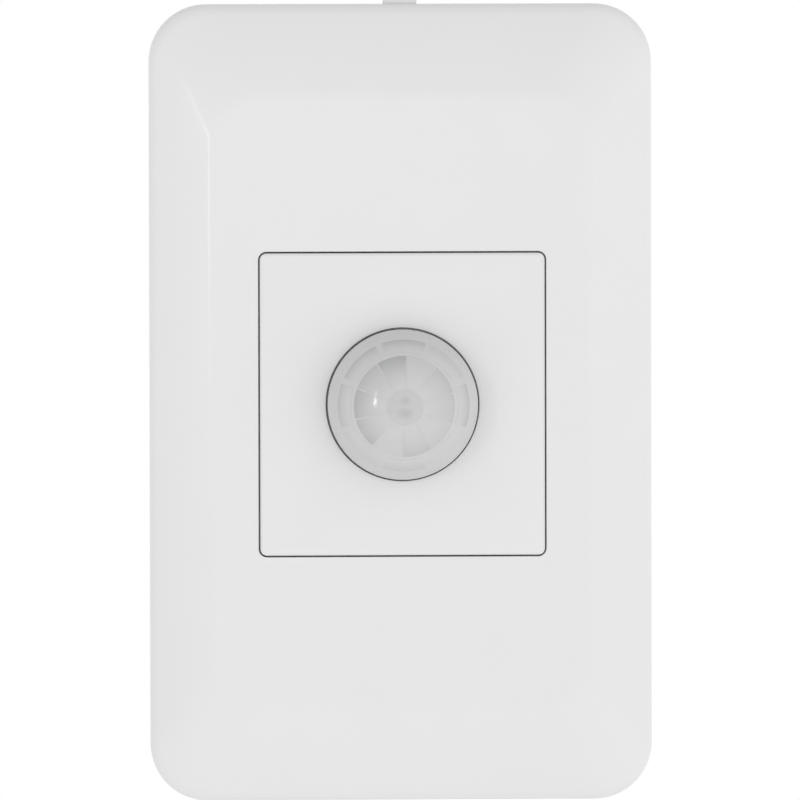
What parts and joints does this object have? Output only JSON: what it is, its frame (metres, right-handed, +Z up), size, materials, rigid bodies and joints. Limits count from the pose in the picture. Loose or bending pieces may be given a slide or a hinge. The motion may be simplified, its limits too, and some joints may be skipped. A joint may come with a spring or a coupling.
{
  "type": "motion sensor light switch",
  "caption": "White wall switch plate with a square sensor insert and a milky dome lens, which turns a light on when someone moves in front of it.",
  "frame": {"origin": "midway between the two wall screw slots, on the support frame's back face", "axes": "+Z up the wall, +Y into the wall, so the front faces -Y, and +X to the right"},
  "size_m": [0.075, 0.0478, 0.1204],
  "materials": {
    "white_abs": "gloss",
    "lens_polyethylene": "satin, milky",
    "frame_polycarbonate": "satin",
    "housing_polycarbonate": "satin",
    "black_nylon": "matte",
    "fibreglass_board": "solder mask",
    "tinned_steel": "tinned",
    "terminal_brass": "bare",
    "copper": "enamelled",
    "photocell_ceramic": "lacquered",
    "relay_blue": "gloss",
    "film_red": "gloss",
    "capacitor_sleeve": "gloss",
    "varistor_epoxy": "gloss",
    "resistor_coat": "matte",
    "terminal_polyamide": "matte",
    "dial_orange": "matte"
  },
  "bodies": {
    "module": {"sensor_bezel": "white_abs", "fresnel_lens": "lens_polyethylene", "support_frame": "frame_polycarbonate", "rear_housing": "housing_polycarbonate", "lens_ring": "black_nylon", "sensor_board": "fibreglass_board", "power_board": "fibreglass_board", "board_screws": "tinned_steel", "pir_header": "tinned_steel", "pir_can": "tinned_steel", "pir_window": "black_nylon", "pir_legs": "tinned_steel", "photocell": "photocell_ceramic", "photocell_legs": "tinned_steel", "sensor_chip": "black_nylon", "board_link": "black_nylon", "link_pins": "terminal_brass", "relay_base": "black_nylon", "relay_cover": "relay_blue", "relay_yoke": "tinned_steel", "relay_bobbin": "black_nylon", "relay_coil": "copper", "relay_core": "tinned_steel", "relay_contact": "copper", "relay_pins": "tinned_steel", "film_capacitor": "film_red", "smoothing_capacitor": "capacitor_sleeve", "varistor": "varistor_epoxy", "fusible_resistor": "resistor_coat", "time_trimmer": "terminal_polyamide", "lux_trimmer": "terminal_polyamide", "terminal_block": "terminal_polyamide", "terminal_bars": "terminal_brass", "housing_screws": "tinned_steel"},
    "wall_plate": {"wall_plate": "white_abs"},
    "time_dial": {"time_dial": "dial_orange"},
    "lux_dial": {"lux_dial": "dial_orange"},
    "armature": {"relay_armature": "tinned_steel", "relay_leaf": "copper"},
    "screw_live": {"terminal_screw_live": "tinned_steel"},
    "cage_live": {"clamp_cage_live": "terminal_brass"},
    "screw_neutral": {"terminal_screw_neutral": "tinned_steel"},
    "cage_neutral": {"clamp_cage_neutral": "terminal_brass"},
    "screw_load": {"terminal_screw_load": "tinned_steel"},
    "cage_load": {"clamp_cage_load": "terminal_brass"}
  },
  "joints": [
    {"name": "plate_pull", "type": "slide", "parent": "module", "child": "wall_plate", "axis": [0, -1, 0], "range_m": [0, 0.03]},
    {"name": "time_turn", "type": "hinge", "parent": "module", "child": "time_dial", "pos_m": [-0.0082, 0.02, 0.0148], "axis": [0, 1, 0], "range_deg": [-135, 135]},
    {"name": "lux_turn", "type": "hinge", "parent": "module", "child": "lux_dial", "pos_m": [0.0082, 0.02, 0.0148], "axis": [0, 1, 0], "range_deg": [-135, 135]},
    {"name": "armature_close", "type": "hinge", "parent": "module", "child": "armature", "pos_m": [-0.0026, 0.0215, -0.0016], "axis": [0, 0, 1], "range_deg": [0, 4], "stiffness_Nm_per_rad": 0.02, "springref_deg": -2.86},
    {"name": "screw_turn_live", "type": "hinge", "parent": "module", "child": "screw_live", "pos_m": [-0.0086, 0.022, -0.0158], "axis": [0, -1, 0], "range_deg": [0, 2161]},
    {"name": "cage_lift_live", "type": "slide", "parent": "module", "child": "cage_live", "axis": [0, 1, 0], "range_m": [0, 0.003]},
    {"name": "screw_turn_neutral", "type": "hinge", "parent": "module", "child": "screw_neutral", "pos_m": [0, 0.022, -0.0158], "axis": [0, -1, 0], "range_deg": [0, 2161]},
    {"name": "cage_lift_neutral", "type": "slide", "parent": "module", "child": "cage_neutral", "axis": [0, 1, 0], "range_m": [0, 0.003]},
    {"name": "screw_turn_load", "type": "hinge", "parent": "module", "child": "screw_load", "pos_m": [0.0086, 0.022, -0.0158], "axis": [0, -1, 0], "range_deg": [0, 2161]},
    {"name": "cage_lift_load", "type": "slide", "parent": "module", "child": "cage_load", "axis": [0, 1, 0], "range_m": [0, 0.003]}
  ],
  "couplings": [
    {"joint": "screw_turn_live", "follows": "cage_lift_live", "rad_per_m": 12566},
    {"joint": "screw_turn_neutral", "follows": "cage_lift_neutral", "rad_per_m": 12566},
    {"joint": "screw_turn_load", "follows": "cage_lift_load", "rad_per_m": 12566}
  ]
}
